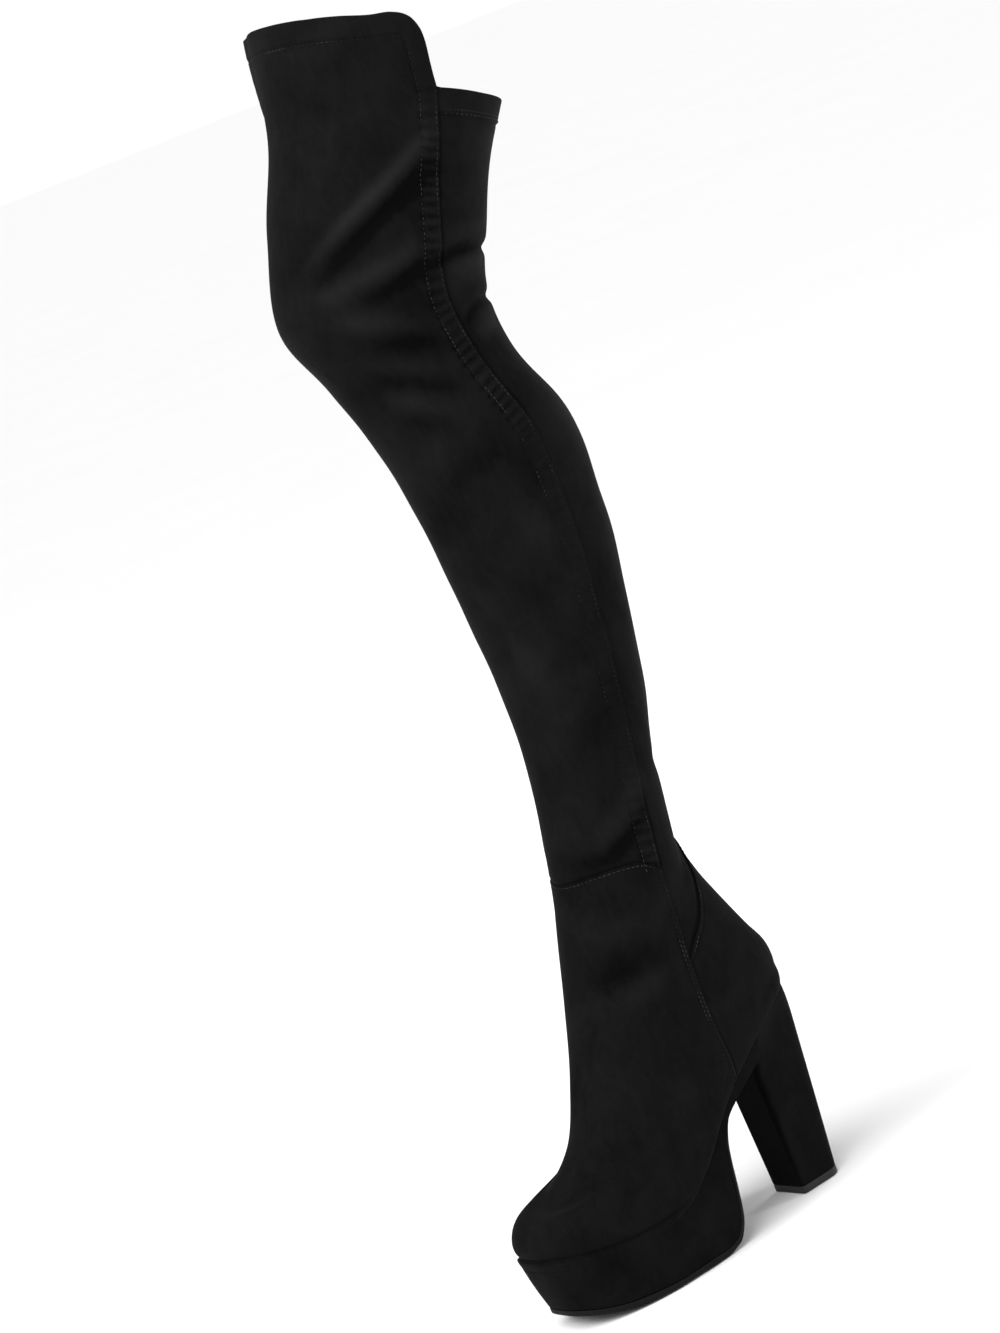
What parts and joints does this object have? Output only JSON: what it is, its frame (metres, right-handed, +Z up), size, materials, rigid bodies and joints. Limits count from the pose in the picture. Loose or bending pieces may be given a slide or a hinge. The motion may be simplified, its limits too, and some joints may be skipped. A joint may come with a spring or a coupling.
{
  "type": "over-the-knee boot",
  "caption": "Left over-the-knee platform boot in black microsuede, with a stepped collar, a block heel, a covered platform and an inner ankle zip.",
  "frame": {"origin": "centre of the heel lift's underside, on the floor", "axes": "+Z up, -Y towards the toe, +X to the wearer's left, the outer side of the foot"},
  "size_m": [0.1307, 0.2591, 0.7517],
  "materials": {
    "black_suede": "napped microsuede",
    "black_lining": "matt",
    "dark_rubber": "satin",
    "black_tape": "matt woven tape with glossy coils",
    "dark_metal": "dark polished"
  },
  "bodies": {
    "boot": {"upper": "black_suede", "insole": "black_lining", "platform": "black_suede", "outsole": "dark_rubber", "heel": "black_suede", "heel_lift": "dark_rubber", "zip_tape": "black_tape", "zip_chain": "black_tape", "zip_slider": "dark_metal"},
    "pull": {"zip_pull": "dark_metal"}
  },
  "joints": [
    {"name": "pull_swing", "type": "hinge", "parent": "boot", "child": "pull", "pos_m": [-0.04455, -0.02818, 0.32663], "axis": [0.0045, 1, 0], "range_deg": [0, 150]}
  ]
}
